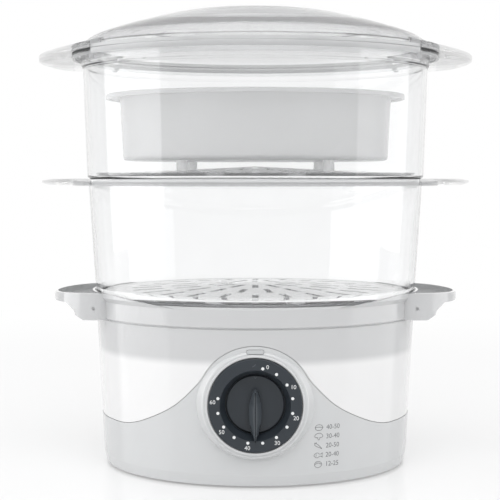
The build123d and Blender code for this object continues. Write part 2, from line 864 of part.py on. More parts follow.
# tubular element under the plate, an open ring whose ends turn down
element_height = heater_bottom - element_radius - seat_gap
element_end = (360 - element_sweep) / 2
with BuildPart() as heating_element:
    with BuildLine():
        CenterArc((0, 0, element_height), element_ring, 90 + element_end, element_sweep)
    with BuildSketch(
        Plane(
            origin=(
                element_ring * cos(radians(90 + element_end)),
                element_ring * sin(radians(90 + element_end)),
                element_height,
            ),
            x_dir=(0, 0, 1),
            z_dir=(-cos(radians(element_end)), -sin(radians(element_end)), 0),
        )
    ):
        Circle(element_radius)
    sweep()
    with BuildSketch(Plane.XY.offset(element_height)):
        with PolarLocations(element_ring, 2, start_angle=90 - element_end, angular_range=2 * element_end,
                            endpoint=True):
            Circle(pin_radius)
    extrude(amount=-element_radius - pin_drop)
heating_element.part.label = "heating_element"
export_step(heating_element.part, "parts/heating_element.step")

with BuildPart() as heater_clamp:
    with BuildSketch(Plane.XY.offset(heater_bottom)):
        Circle(clamp_radius)
        Circle(clamp_inner, mode=Mode.SUBTRACT)
        with PolarLocations(clamp_screw_place, 3, start_angle=30):
            Circle(screw_hole, mode=Mode.SUBTRACT)
    extrude(amount=-clamp_thick)
heater_clamp.part.label = "heater_clamp"
export_step(heater_clamp.part, "parts/heater_clamp.step")

with BuildPart() as heater_screws:
    with BuildSketch(Plane.XY.offset(heater_bottom - clamp_thick)):
        with PolarLocations(clamp_screw_place, 3, start_angle=30):
            Circle(big_head_radius)
    extrude(amount=-head_height)
    with BuildSketch(Plane.XY.offset(heater_bottom - clamp_thick)):
        with PolarLocations(clamp_screw_place, 3, start_angle=30):
            Circle(screw_radius)
    extrude(amount=tank_floor - heater_bottom + clamp_thick - seat_gap)
heater_screws.part.label = "heater_screws"
export_step(heater_screws.part, "parts/heater_screws.step")

with BuildPart() as thermostat:
    with BuildSketch(Plane.XY.offset(heater_bottom - seat_gap)):
        Circle(thermostat_radius)
    extrude(amount=-thermostat_height)
    with BuildSketch(Plane.XY.offset(heater_bottom - seat_gap - thermostat_height)):
        with Locations((thermostat_radius / 2, 0), (-thermostat_radius / 2, 0)):
            Rectangle(0.8, 5)
    extrude(amount=-thermostat_height / 2)
thermostat.part.label = "thermostat"
export_step(thermostat.part, "parts/thermostat.step")

with BuildPart() as thermal_fuse:
    with BuildSketch(Plane(origin=(-fuse_length / 2, -14, heater_bottom - fuse_radius - seat_gap),
                           x_dir=(0, 1, 0), z_dir=(1, 0, 0))):
        Circle(fuse_radius)
    extrude(amount=fuse_length)
thermal_fuse.part.label = "thermal_fuse"
export_step(thermal_fuse.part, "parts/thermal_fuse.step")

# ---------------------------------------------------------------- bottom cover and feet
with BuildPart() as bottom_cover:
    with BuildSketch(Plane.XY.offset(shell_bottom)):
        Circle(shell_inner(shell_bottom) - cover_gap)
    extrude(amount=cover_thick)
    with BuildSketch(Plane.XY.offset(shell_bottom)):
        with PolarLocations(post_place, 4, start_angle=45):
            Circle(screw_hole)
        with PolarLocations(foot_place, 4, start_angle=45):
            Circle(foot_stem + seat_gap / 4)
        with GridLocations(0, vent_pitch, 1, vent_count):
            SlotOverall(vent_length, vent_width)
    extrude(amount=cover_thick, mode=Mode.SUBTRACT)
    with BuildSketch(Plane.XY.offset(shell_bottom)):
        with PolarLocations(post_place, 4, start_angle=45):
            Circle(big_head_radius + seat_gap)
    extrude(amount=head_height, mode=Mode.SUBTRACT)
bottom_cover.part.label = "bottom_cover"
export_step(bottom_cover.part, "parts/bottom_cover.step")

with BuildPart() as bottom_screws:
    with BuildSketch(Plane.XY.offset(shell_bottom + seat_gap / 2)):
        with PolarLocations(post_place, 4, start_angle=45):
            Circle(big_head_radius)
    extrude(amount=head_height - seat_gap / 2)
    with BuildSketch(Plane.XY.offset(shell_bottom + head_height)):
        with PolarLocations(post_place, 4, start_angle=45):
            Circle(screw_radius)
    extrude(amount=post_top / 2 - seat_gap)
bottom_screws.part.label = "bottom_screws"
export_step(bottom_screws.part, "parts/bottom_screws.step")

with BuildPart() as rubber_feet:
    with BuildSketch(Plane.XY):
        with PolarLocations(foot_place, 4, start_angle=45):
            Circle(foot_size)
    extrude(amount=foot_drop)
    fillet(rubber_feet.edges().group_by(Axis.Z)[0], foot_drop / 3)
    with BuildSketch(Plane.XY.offset(foot_drop)):
        with PolarLocations(foot_place, 4, start_angle=45):
            Circle(foot_stem)
    extrude(amount=cover_thick + foot_drop)
rubber_feet.part.label = "rubber_feet"
export_step(rubber_feet.part, "parts/rubber_feet.step")

# ---------------------------------------------------------------- cord gland, terminals and wires
gland_place = wall_radius(gland_height + gland_flange) + fascia_proud
with BuildPart() as cord_gland:
    with BuildSketch(Plane(origin=(0, gland_place, gland_height), x_dir=(1, 0, 0), z_dir=(0, 1, 0))):
        Circle(gland_flange)
    extrude(amount=gland_lip)
    with BuildSketch(Plane(origin=(0, gland_place, gland_height), x_dir=(1, 0, 0), z_dir=(0, 1, 0))):
        Circle(gland_radius)
    extrude(amount=-shell_wall - gland_lip)
    gland_end = Plane(origin=(0, gland_place + gland_lip, gland_height), x_dir=(1, 0, 0), z_dir=(0, 1, 0))
    with BuildSketch(gland_end):
        Circle(gland_bore)
    extrude(amount=-shell_wall - 3 * gland_lip, mode=Mode.SUBTRACT)
cord_gland.part.label = "cord_gland"
export_step(cord_gland.part, "parts/cord_gland.step")

block_place = 66.0
block_size = (26.0, 14.0, 10.0)
with BuildPart() as terminal_block:
    with BuildSketch(Plane.XY.offset(cover_top)):
        with Locations((0, block_place)):
            Rectangle(block_size[0], block_size[1])
    extrude(amount=block_size[2])
    with BuildSketch(Plane.XY.offset(cover_top + block_size[2])):
        with Locations((0, block_place)):
            with GridLocations(9, 0, 3, 1):
                Circle(2)
    extrude(amount=-block_size[2] / 2, mode=Mode.SUBTRACT)
terminal_block.part.label = "terminal_block"
export_step(terminal_block.part, "parts/terminal_block.step")

wire_radius = 1.1
wire_bend = 6.0
element_pin = (element_ring * sin(radians(element_end)), element_ring * cos(radians(element_end)))
pin_end = element_height - element_radius - pin_drop - seat_gap
spade_end = dial_height - timer_size / 2 - terminal_drop - 2 * seat_gap
spade_place = -timer_front + timer_depth / 2
wire_floor = cover_top + wire_radius + seat_gap
block_front = block_place - block_size[1] / 2 - seat_gap
wire_routes = {
    "live_wire": [
        (9, block_front, wire_floor + 2),
        (9, block_front - 10, wire_floor + 2),
        (52, 12, wire_floor + 2),
        (52, -40, wire_floor + 2),
        (12, spade_place, wire_floor + 6),
        (12, spade_place, spade_end),
    ],
    "switched_wire": [
        (-12, spade_place, spade_end),
        (-12, spade_place, wire_floor + 6),
        (-48, -34, wire_floor + 2),
        (-48, 8, wire_floor + 2),
        (-element_pin[0], element_pin[1], wire_floor + 6),
        (-element_pin[0], element_pin[1], pin_end),
    ],
    "neutral_wire": [
        (0, block_front, wire_floor + 2),
        (0, block_front - 14, wire_floor + 2),
        (element_pin[0], element_pin[1], wire_floor + 2),
        (element_pin[0], element_pin[1], pin_end),
    ],
}
for wire_name, route in wire_routes.items():
    with BuildPart() as wire:
        with BuildLine():
            FilletPolyline(*route, radius=wire_bend / 2)
        start = Vector(*route[1]) - Vector(*route[0])
        with BuildSketch(Plane(origin=route[0], z_dir=start)):
            Circle(wire_radius)
        sweep()
    wire.part.label = wire_name
    export_step(wire.part, "parts/" + wire_name + ".step")

# ---------------------------------------------------------------- steam ring
with BuildPart() as steam_ring:
    with BuildSketch(Plane.XY.offset(tank_floor_top)):
        Circle(ring_radius)
        Circle(ring_radius - ring_wall, mode=Mode.SUBTRACT)
    extrude(amount=ring_height)
    with BuildSketch(Plane.XY.offset(tank_floor_top)):
        with PolarLocations(ring_radius, ring_ports):
            Rectangle(4 * ring_wall, ring_port_width)
    extrude(amount=ring_port_height, mode=Mode.SUBTRACT)
steam_ring.part.label = "steam_ring"
export_step(steam_ring.part, "parts/steam_ring.step")

# ---------------------------------------------------------------- drip tray
with BuildPart() as drip_tray:
    tray_rim = rim_inner - tray_gap
    tray_step = tank_radius - tank_wall - tray_gap
    with BuildSketch(front):
        with BuildLine():
            Polyline(
                (0, tray_crown),
                (tray_crown_radius, tray_crown),
                (tray_trough_inner, tray_trough + tray_wall),
                (tray_trough_outer - tray_wall, tray_trough + tray_wall),
                (tray_step - tray_wall, tray_top),
                (tray_rim, tray_top),
                (tray_rim, flange_top),
                (tray_step, flange_top),
                (tray_trough_outer, tray_trough),
                (tray_trough_inner, tray_trough),
                (tray_crown_radius, tray_crown - tray_wall),
                (0, tray_crown - tray_wall),
                close=True,
            )
        make_face()
    revolve(axis=Axis.Z)
    with BuildSketch(Plane.XY.offset(tray_crown)):
        with PolarLocations(tray_slot_place, tray_slots):
            Rectangle(tray_slot_length, tray_slot_width)
    extrude(amount=-2 * tray_wall, mode=Mode.SUBTRACT)
drip_tray.part.label = "drip_tray"
export_step(drip_tray.part, "parts/drip_tray.step")


# ---------------------------------------------------------------- baskets
def basket(bottom, foot, top_radius, top, corner, skirt, skirt_bottom, lip_drop, step, tabs):
    """Clear basket: locating skirt, tapered wall, down-turned flange and two grip tabs."""
    run, rise = corner
    wall_top = [*step, (top_radius, top - ring_plate)][0]
    slope = (wall_top[0] - foot) / (wall_top[1] - bottom)
    spring = (foot + slope * rise, bottom + rise)
    with BuildPart() as body:
        with BuildSketch(front) as profile:
            with BuildLine():
                Polyline((skirt, skirt_bottom), (skirt, bottom), (foot - run, bottom))
                TangentArc(spring, (foot - run, bottom), tangent=(-slope, -1))
                Polyline(
                    spring,
                    *step,
                    (top_radius, top - ring_plate),
                    (ring_outer - ring_lip, top - ring_plate),
                    (ring_outer - ring_lip, top - lip_drop),
                    (ring_outer, top - lip_drop),
                    (ring_outer, top),
                    (top_radius - clear_wall, top),
                    *[(radius - clear_wall, height) for radius, height in reversed(step)],
                    (foot - clear_wall, bottom + ring_plate),
                    (skirt - ledge_inner_drop, bottom + ring_plate),
                    (skirt - ledge_inner_drop, bottom),
                    (skirt - clear_wall, bottom),
                    (skirt - clear_wall, skirt_bottom),
                    (skirt, skirt_bottom),
                )
            make_face()
            fillet(vertex_at(profile, (ring_outer, top)), edge_break)
        revolve(axis=Axis.Z)
        add(tabs.part)
    return body


lower_tab_tip = ring_outer + lower_tab_reach
lower_tab_tip_top = lower_top - lower_tab_fall
lower_tab_bottom = lower_top - lower_tab_depth
lower_tabs = grip_tabs(
    tab_centre,
    lower_tab_tip,
    [
        (lower_top_radius, lower_tab_bottom),
        (lower_tab_tip - 4.0, lower_tab_bottom),
        (lower_tab_tip, lower_tab_bottom + 1.6),
        (lower_tab_tip, lower_tab_tip_top - 0.6),
        (lower_tab_tip - 6.0, lower_top - 0.2),
        (ring_outer, lower_top),
        (lower_top_radius, lower_top),
    ],
    [
        (lower_top_radius, lower_tab_bottom - tab_lip),
        (lower_tab_tip, lower_tab_bottom - tab_lip),
        (lower_tab_tip, lower_top - tab_plate - 0.6),
        (ring_outer, lower_top - tab_plate),
        (lower_top_radius, lower_top - tab_plate),
    ],
    ring_outer - ring_lip,
)
lower_basket = basket(
    lower_bottom,
    lower_foot_radius,
    lower_top_radius,
    lower_top,
    lower_corner,
    lower_skirt_radius,
    tray_top,
    lower_lip_drop,
    [],
    lower_tabs,
)
lower_basket.part.label = "lower_basket"
export_step(lower_basket.part, "parts/lower_basket.step")

upper_tab_tip = ring_outer + upper_tab_reach
upper_tab_tip_top = upper_top - upper_tab_fall
upper_tab_bottom = upper_top - upper_tab_depth
upper_tabs = grip_tabs(
    tab_centre,
    upper_tab_tip,
    [
        (upper_top_radius, upper_tab_bottom),
        (upper_tab_tip - 3.0, upper_tab_bottom),
        (upper_tab_tip, upper_tab_bottom + 1.2),
        (upper_tab_tip, upper_tab_tip_top),
        (ring_outer + 4.0, upper_top - 0.8),
        (ring_outer, upper_top),
        (upper_top_radius, upper_top),
    ],
    [
        (upper_top_radius, upper_tab_bottom - tab_lip),
        (upper_tab_tip, upper_tab_bottom - tab_lip),
        (upper_tab_tip, upper_tab_tip_top - tab_plate),
        (ring_outer + 4.0, upper_top - tab_plate - 0.8),
        (upper_top_radius, upper_top - tab_plate),
    ],
    ring_outer - ring_lip,
)
upper_step_height = upper_top - step_height
upper_step_radius = upper_foot_radius + (upper_top_radius - step_out - upper_foot_radius) * (
    upper_step_height - upper_bottom
) / (upper_top - upper_bottom)
upper_basket = basket(
    upper_bottom,
    upper_foot_radius,
    upper_top_radius,
    upper_top,
    upper_corner,
    upper_skirt_radius,
    upper_bottom - upper_skirt_drop,
    upper_lip_drop,
    [
        (upper_step_radius, upper_step_height),
        (upper_step_radius + step_out, upper_step_height + step_run),
    ],
    upper_tabs,
)
upper_basket.part.label = "upper_basket"
export_step(upper_basket.part, "parts/upper_basket.step")


# ---------------------------------------------------------------- floors
def basket_floor(bottom, foot):
    """Perforated floor, a low cone that sheds water, resting on the basket's ledge."""
    edge = foot - clear_wall - floor_gap
    seat = bottom + ring_plate
    with BuildPart() as plate:
        with BuildSketch(front):
            with BuildLine():
                Polyline(
                    (0, seat + floor_rise),
                    (edge - 2 * ledge_inner_drop, seat),
                    (edge - floor_thick - floor_lead[0], seat),
                    (edge - floor_thick, seat + floor_lead[1]),
                    (edge - floor_thick, seat + floor_thick),
                    (edge - 2 * ledge_inner_drop, seat + floor_thick),
                    (0, seat + floor_rise + floor_thick),
                    close=True,
                )
            make_face()
        revolve(axis=Axis.Z)
        with BuildSketch(Plane.XY.offset(seat)):
            for count, place, length in floor_rings:
                with PolarLocations(place, count):
                    Rectangle(length, floor_slot_width)
            finger_x, finger_y = finger_place
            with GridLocations(2 * finger_x, 2 * finger_y, 2, 2):
                Ellipse(finger_hole[0] / 2, finger_hole[1] / 2)
        extrude(amount=floor_rise + 2 * floor_thick, mode=Mode.SUBTRACT)
    return plate


lower_floor = basket_floor(lower_bottom, lower_foot_radius)
lower_floor.part.label = "lower_floor"
export_step(lower_floor.part, "parts/lower_floor.step")

upper_floor = basket_floor(upper_bottom, upper_foot_radius)
upper_floor.part.label = "upper_floor"
export_step(upper_floor.part, "parts/upper_floor.step")

# ---------------------------------------------------------------- rice bowl
bowl_radius = upper_foot_radius - bowl_setback
bowl_top_radius = bowl_radius + bowl_flare
bowl_rim_radius = bowl_top_radius + bowl_rim_reach
bowl_floor = upper_bottom + bowl_rise
bowl_top = bowl_floor + bowl_height
upper_floor_edge = upper_foot_radius - clear_wall - floor_gap - 2 * ledge_inner_drop
bowl_foot_reach = hypot(*bowl_foot) - bowl_foot_radius
upper_floor_top = upper_bottom + ring_plate + floor_thick
bowl_foot_bottom = upper_floor_top + floor_rise * (1 - bowl_foot_reach / upper_floor_edge) + seat_gap / 2
with BuildPart() as rice_bowl:
    with BuildSketch(front) as bowl_profile:
        with BuildLine():
            Polyline(
                (0, bowl_floor),
                (bowl_radius, bowl_floor),
                (bowl_top_radius, bowl_top - bowl_wall),
                (bowl_rim_radius - bowl_wall, bowl_top - bowl_wall),
                (bowl_rim_radius - bowl_wall, bowl_top - bowl_rim_drop),
                (bowl_rim_radius, bowl_top - bowl_rim_drop),
                (bowl_rim_radius, bowl_top),
                (bowl_top_radius - bowl_wall, bowl_top),
                (bowl_radius - bowl_wall, bowl_floor + bowl_wall),
                (0, bowl_floor + bowl_wall),
                close=True,
            )
        make_face()
        fillet(vertex_at(bowl_profile, (bowl_radius, bowl_floor)), bowl_corner)
        fillet(vertex_at(bowl_profile, (bowl_radius - bowl_wall, bowl_floor + bowl_wall)), bowl_corner)
        fillet(vertex_at(bowl_profile, (bowl_rim_radius, bowl_top)), edge_break)
    revolve(axis=Axis.Z)
    with BuildSketch(Plane.XY.offset(bowl_foot_bottom)):
        with GridLocations(2 * bowl_foot[0], 2 * bowl_foot[1], 2, 2):
            Circle(bowl_foot_radius)
    extrude(amount=bowl_floor + bowl_wall / 2 - bowl_foot_bottom)
rice_bowl.part.label = "rice_bowl"
export_step(rice_bowl.part, "parts/rice_bowl.step")

# ---------------------------------------------------------------- lid
lid_skirt_radius = upper_top_radius - clear_wall - skirt_gap
lid_dome_radius = upper_top_radius - seat_gap / 2
lid_dome_foot = lid_bottom + lid_foot_rise
lid_top = lid_bottom + lid_height
lid_run = [
    (lid_dome_radius, lid_dome_foot),
    (lid_dome_radius - lid_shoulder[0], lid_bottom + lid_shoulder[1]),
    (lid_dome_radius - lid_crown[0], lid_bottom + lid_crown[1]),
    (0, lid_top),
]
lid_tab_tip = ring_outer + lid_tab_reach
lid_tab_tip_height = lid_bottom - lid_tab_fall
lid_tab_root_height = lid_bottom + lid_tab_root_rise
lid_tab_root = lid_dome_radius - lid_wall / 2
lid_tab_slope = (lid_tab_root_height - lid_tab_tip_height) / (lid_tab_tip - lid_tab_root)
lid_tabs = grip_tabs(
    tab_centre,
    lid_tab_tip,
    [
        (lid_tab_root, lid_bottom),
        (ring_outer + tab_lip, lid_bottom),
        (lid_tab_tip, upper_tab_tip_top + 2 * seat_gap),
        (lid_tab_tip, lid_tab_tip_height - edge_break),
        (lid_tab_tip - tab_lip, lid_tab_tip_height + tab_lip * lid_tab_slope),
        (lid_tab_root, lid_tab_root_height),
    ],
    [
        (lid_tab_root, lid_bottom - 2 * ledge_inner_drop),
        (lid_tab_tip, lid_bottom - 2 * ledge_inner_drop),
        (lid_tab_tip, lid_tab_tip_height - tab_plate),
        (lid_tab_root, lid_tab_root_height - tab_plate),
    ],
    lid_tab_root,
)
with BuildPart() as lid:
    with BuildSketch(front):
        with BuildLine():
            Line((0, lid_bottom), (lid_dome_radius, lid_bottom))
            Line((lid_dome_radius, lid_bottom), lid_run[0])
            Spline(*lid_run, tangents=[lid_spring, (-1, 0)])
            Line((0, lid_top), (0, lid_bottom))
        make_face()
        with BuildLine():
            inner_foot = (lid_dome_radius - lid_wall, lid_dome_foot - lid_wall / 3)
            Line((0, lid_bottom), (lid_dome_radius - lid_wall, lid_bottom))
            Line((lid_dome_radius - lid_wall, lid_bottom), inner_foot)
            Spline(
                inner_foot,
                *moved(lid_run, -lid_wall),
                (0, lid_top - lid_wall),
                tangents=[lid_spring, (-1, 0)],
            )
            Line((0, lid_top - lid_wall), (0, lid_bottom))
        make_face(mode=Mode.SUBTRACT)
    revolve(axis=Axis.Z)
    with BuildSketch(Plane.XY.offset(lid_bottom)):
        Circle(ring_outer)
        Circle(lid_skirt_radius - lid_wall, mode=Mode.SUBTRACT)
    extrude(amount=lid_flange)
    with BuildSketch(Plane.XY.offset(lid_bottom - lid_skirt_drop)):
        Circle(lid_skirt_radius)
        Circle(lid_skirt_radius - lid_wall, mode=Mode.SUBTRACT)
    extrude(amount=lid_skirt_drop + lid_flange)
    with BuildSketch(Plane.XY.offset(lid_bottom + drip_ring_rise)):
        Circle(drip_ring_radius)
        Circle(drip_ring_radius - lid_wall, mode=Mode.SUBTRACT)
    extrude(amount=drip_ring_height)
    add(lid_tabs.part)
    # two round vents let the steam out towards the back
    with BuildSketch(Plane.XY.offset(lid_bottom + drip_ring_rise)):
        with Locations(vent_spot, (-vent_spot[0], vent_spot[1])):
            Circle(vent_radius)
    extrude(amount=lid_height, mode=Mode.SUBTRACT)
lid.part.label = "lid"
export_step(lid.part, "parts/lid.step")
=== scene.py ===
# %% [markdown]
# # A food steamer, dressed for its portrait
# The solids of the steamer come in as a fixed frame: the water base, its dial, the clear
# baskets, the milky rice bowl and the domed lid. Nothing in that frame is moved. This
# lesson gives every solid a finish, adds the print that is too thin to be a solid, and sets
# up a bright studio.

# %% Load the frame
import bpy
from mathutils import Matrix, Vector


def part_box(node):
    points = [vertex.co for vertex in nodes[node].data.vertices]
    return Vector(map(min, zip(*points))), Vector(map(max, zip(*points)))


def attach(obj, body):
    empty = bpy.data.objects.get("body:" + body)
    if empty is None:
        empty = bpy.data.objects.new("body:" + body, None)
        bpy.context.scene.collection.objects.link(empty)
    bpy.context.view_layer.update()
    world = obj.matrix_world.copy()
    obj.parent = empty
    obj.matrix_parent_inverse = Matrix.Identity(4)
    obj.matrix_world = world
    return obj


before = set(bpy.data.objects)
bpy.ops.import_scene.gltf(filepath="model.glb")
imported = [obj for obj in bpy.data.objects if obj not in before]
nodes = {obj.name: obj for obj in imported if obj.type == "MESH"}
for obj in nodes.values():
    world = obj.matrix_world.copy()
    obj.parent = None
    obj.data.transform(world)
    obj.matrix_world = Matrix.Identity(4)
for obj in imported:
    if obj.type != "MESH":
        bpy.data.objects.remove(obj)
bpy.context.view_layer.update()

from math import cos, pi, radians, sin

import bpy
from mathutils import Matrix, Vector

MM = 0.001
scene = bpy.context.scene


# %% [markdown]
# ## The camera
# A long lens a metre away keeps the sides of the base nearly parallel, as in a catalogue
# picture. It stands level with the seam between the two baskets and looks slightly down,
# so the rims show as flat ellipses. The small turn to the left sets the steamer a few
# pixels right of the middle.

# %% Camera
LENS = 104.6
CAMERA_PLACE = (0.0, -0.987, 0.192)
CAMERA_DOWN = radians(2.90)
CAMERA_LEFT = radians(0.21)

bpy.ops.object.camera_add(location=CAMERA_PLACE, rotation=(pi / 2 - CAMERA_DOWN, 0, CAMERA_LEFT))
camera = bpy.context.object
camera.data.lens = LENS
camera.data.sensor_width = 36
camera.data.sensor_fit = "HORIZONTAL"
camera.data.clip_end = 20
scene.camera = camera
scene.view_settings.view_transform = "Standard"
print("camera lens", LENS, "mm")


# %% [markdown]
# ## Nodes without clicking
# Every finish below is a small tree of shader nodes. A few helpers keep those trees
# readable. One starts a material with an empty tree, one adds a node, sets its plain values
# and links what feeds it, and the rest are the small groups that come back in each tree: a
# noise, a value or a colour that follows it, a bump and the surface itself.

# %% Node helpers
def new_material(name):
    material = bpy.data.materials.new(name)
    material.use_nodes = True
    material.node_tree.nodes.clear()
    return material, material.node_tree


def node(tree, kind, feeds=None, **values):
    """Adds a node. feeds maps an input's name to a number, a colour or another node's output."""
    made = tree.nodes.new("ShaderNode" + kind)
    for name, value in values.items():
        setattr(made, name, value)
    for name, value in (feeds or {}).items():
        socket = made.inputs[name]
        if isinstance(value, bpy.types.NodeSocket):
            tree.links.new(value, socket)
        else:
            socket.default_value = value
    return made


def shaded(colour, amount=0.0):
    """The colour made lighter or darker by a share, as a full RGBA value."""
    return (*[min(1.0, c * (1 + amount)) for c in colour], 1.0)


def noise(tree, place, scale, detail):
    """The value of a noise pattern at a place."""
    return node(tree, "TexNoise", {"Vector": place, "Scale": scale, "Detail": detail}).outputs["Fac"]


def spread(tree, value, low, high):
    """A value from 0 to 1, stretched between two limits."""
    return node(tree, "MapRange", {"Value": value, "To Min": low, "To Max": high}).outputs["Result"]


def blend(tree, factor, first, second):
    """A colour between two. In colour mode a Mix node's sockets are 6 and 7, its output 2."""
    mix = node(tree, "Mix", {"Factor": factor}, data_type="RGBA")
    mix.inputs[6].default_value = first
    mix.inputs[7].default_value = second
    return mix.outputs[2]


def bumped(tree, height, strength, depth):
    """A normal that follows a height; depth is in millimetres."""
    feeds = {"Height": height, "Strength": strength, "Distance": depth * MM}
    return node(tree, "Bump", feeds).outputs["Normal"]


def surface(tree, colour, rough, normal, constants):
    """The general surface shader; constants are plain values by the name of their socket."""
    feeds = {"Base Color": colour, "Roughness": rough, "Normal": normal, **constants}
    return node(tree, "BsdfPrincipled", feeds).outputs[0]


def finished(material, tree, shader):
    """Links the shader to the material's output and returns the material."""
    node(tree, "OutputMaterial", {"Surface": shader})
    return material


print("helpers ready")


# %% [markdown]
# ## Moulded plastic
# A moulded part is never one flat colour. The melt cools unevenly, so its tone drifts a
# percent or two over some centimetres; the tool leaves a very fine texture, and handling
# polishes it in places. So three noise patterns in object space drive the colour, the
# roughness and a bump of a few hundredths of a millimetre.

# %% Moulded plastic
PLASTIC_IOR = 1.49
CLOUD, RUB, GRAIN = 14.0, 38.0, 1400.0  # scales of the drift, the handling and the texture
GRAIN_STRENGTH = 0.35


def moulded(name, colour, rough, grain=GRAIN, relief=0.010, drift=0.02, wear=0.05, coat=0.0):
    material, tree = new_material(name)
    place = node(tree, "TexCoord").outputs["Object"]
    shader = surface(
        tree,
        blend(tree, noise(tree, place, CLOUD, 3.0), shaded(colour, -drift), shaded(colour, drift)),
        spread(tree, noise(tree, place, RUB, 4.0), rough - wear, rough + wear),
        bumped(tree, noise(tree, place, grain, 2.0), GRAIN_STRENGTH, relief),
        {"IOR": PLASTIC_IOR, "Coat Weight": coat, "Coat Roughness": 0.04},
    )
    return finished(material, tree, shader)


print("moulded plastic ready")


# %% [markdown]
# ## The shell with painted shade
# The shell of the base is white and glossy. Its upper part is painted a dim grey: that is
# painted shade, and no light passes through the shell. The colour follows the height, with
# a soft edge that wanders a little.

# %% Shell with painted shade
WANDER = 3.0  # millimetres that the full range of the noise moves the edge


def shell_with_painted_shade(name, bright, dim, edge, soft, rough):
    """bright below the edge's height and dim above it, a painted shade, with a soft change between them."""
    material, tree = new_material(name)
    place = node(tree, "TexCoord").outputs["Object"]
    height = node(tree, "SeparateXYZ", {0: place}).outputs["Z"]
    drift = noise(tree, place, 9.0, 2.0)
    waved = node(tree, "Math", {0: drift, 1: WANDER * MM, 2: height}, operation="MULTIPLY_ADD")
    above = node(
        tree,
        "MapRange",
        {"Value": waved.outputs[0], "From Min": (edge - soft) * MM, "From Max": (edge + soft) * MM},
        interpolation_type="SMOOTHSTEP",
    )
    shader = surface(
        tree,
        blend(tree, above.outputs["Result"], shaded(bright), shaded(dim)),
        spread(tree, noise(tree, place, RUB, 4.0), rough - 0.04, rough + 0.05),
        bumped(tree, noise(tree, place, GRAIN, 2.0), GRAIN_STRENGTH, 0.008),
        {"IOR": PLASTIC_IOR, "Coat Weight": 1.0, "Coat Roughness": 0.03},
    )
    return finished(material, tree, shader)


print("translucent shell ready")


# %% [markdown]
# ## Clear plastic
# The baskets and the lid are clear polycarbonate: light goes through, bends in the thick
# corners, and a few percent bounce off each face. A transmitting shader does all of it,
# and a thin grey absorption inside darkens the long ways through flanges, floors and
# rims, as in the real plastic. On a ring around the axis the rims get a milky grey share,
# which is painted light: it stands in for the pale band of the thick clear rims. The grips
# outside that ring are so thin that most light passes them unbent. Lamps alone would
# throw a dark shadow behind such a shell, because the renderer doesn't focus light through
# it, so for shadow rays the shader is swapped for a plain see-through one.

# %% Clear plastic
# The satin of the rims is painted light: a milky grey share that stands in for the pale band of the thick
# clear rims.
PAINTED_RIM_BAND = (117.8, 119.0, 123.2, 123.8)  # distances from the axis: satin starts, full, still full, ends
THIN_GRIP = 0.85  # share of the light that passes the thin grips without bending
CLEAR_IOR = 1.45
RIM_PAINTED_GREY = (0.52, 0.525, 0.53, 1)  # colour of the satin
SMOKE = (0.5, 0.505, 0.51, 1)  # colour that the inside leaves of white light


def rim_light_and_grip_masks(tree, place):
    """Two masks: 1 on the rims of the round pieces, where light is painted, and 1 on the grips outside them.
    """
    flat = node(tree, "VectorMath", {0: place, 1: (1, 1, 0)}, operation="MULTIPLY")
    apart = node(tree, "VectorMath", {0: flat.outputs[0]}, operation="LENGTH").outputs["Value"]
    inner, full, last, outer = [limit * MM for limit in PAINTED_RIM_BAND]
    rise = node(tree, "MapRange", {"Value": apart, "From Min": inner, "From Max": full})
    fall = node(tree, "MapRange", {"Value": apart, "From Min": outer, "From Max": last})
    ring = node(tree, "Math", {0: rise.outputs[0], 1: fall.outputs[0]}, operation="MULTIPLY")
    grip = node(tree, "Math", {0: 1.0, 1: fall.outputs[0]}, operation="SUBTRACT")
    return ring.outputs[0], grip.outputs[0]


def clear(name, colour, rough, haze=0.0, ripple=0.003, shadow=0.9, smoke=0.0, satin=0.0):
    """haze is the milky share of the surface, smoke what the inside swallows per metre,
    and satin the share of painted light on the rims, a milky grey for their pale band."""
    material, tree = new_material(name)
    place = node(tree, "TexCoord").outputs["Object"]
    smear = noise(tree, place, 60.0, 4.0)
    body = surface(
        tree,
        blend(tree, smear, shaded(colour, -0.01), shaded(colour, 0.01)),
        spread(tree, smear, rough, rough + 0.03),
        bumped(tree, noise(tree, place, 22.0, 2.0), 0.25, ripple),
        {"IOR": CLEAR_IOR, "Transmission Weight": 1.0 - haze},
    )
    # Painted light: on the rims a milky grey shader is mixed into the clear one.
    if satin:
        milk = node(tree, "BsdfPrincipled", {"Base Color": RIM_PAINTED_GREY, "Roughness": 0.3}).outputs[0]
        thin = node(tree, "BsdfTransparent", {"Color": (0.97, 0.97, 0.97, 1)}).outputs[0]
        ring, grip = rim_light_and_grip_masks(tree, place)
        share = node(tree, "Math", {0: ring, 1: satin}, operation="MULTIPLY").outputs[0]
        rimmed = node(tree, "MixShader", {0: share, 1: body, 2: milk}).outputs[0]
        light = node(tree, "Math", {0: grip, 1: THIN_GRIP}, operation="MULTIPLY").outputs[0]
        body = node(tree, "MixShader", {0: light, 1: rimmed, 2: thin}).outputs[0]
    through = node(tree, "BsdfTransparent", {"Color": (shadow, shadow, shadow, 1)}).outputs[0]
    is_shadow = node(tree, "LightPath").outputs["Is Shadow Ray"]
    picked = node(tree, "MixShader", {0: is_shadow, 1: body, 2: through}).outputs[0]
    out = node(tree, "OutputMaterial", {"Surface": picked})
    if smoke:
        inside = node(tree, "VolumeAbsorption", {"Color": SMOKE, "Density": 2 * smoke})
        tree.links.new(inside.outputs[0], out.inputs["Volume"])
    return material


print("clear plastic ready")


# %% [markdown]
# ## Metal and rubber
# The heater plate is cast and turned, the clamp and screws are pressed and plated steel.
# Stretching a noise pattern along one way gives the fine lines that a tool leaves. Rubber
# is rough, and its tone drifts more than a hard plastic's.

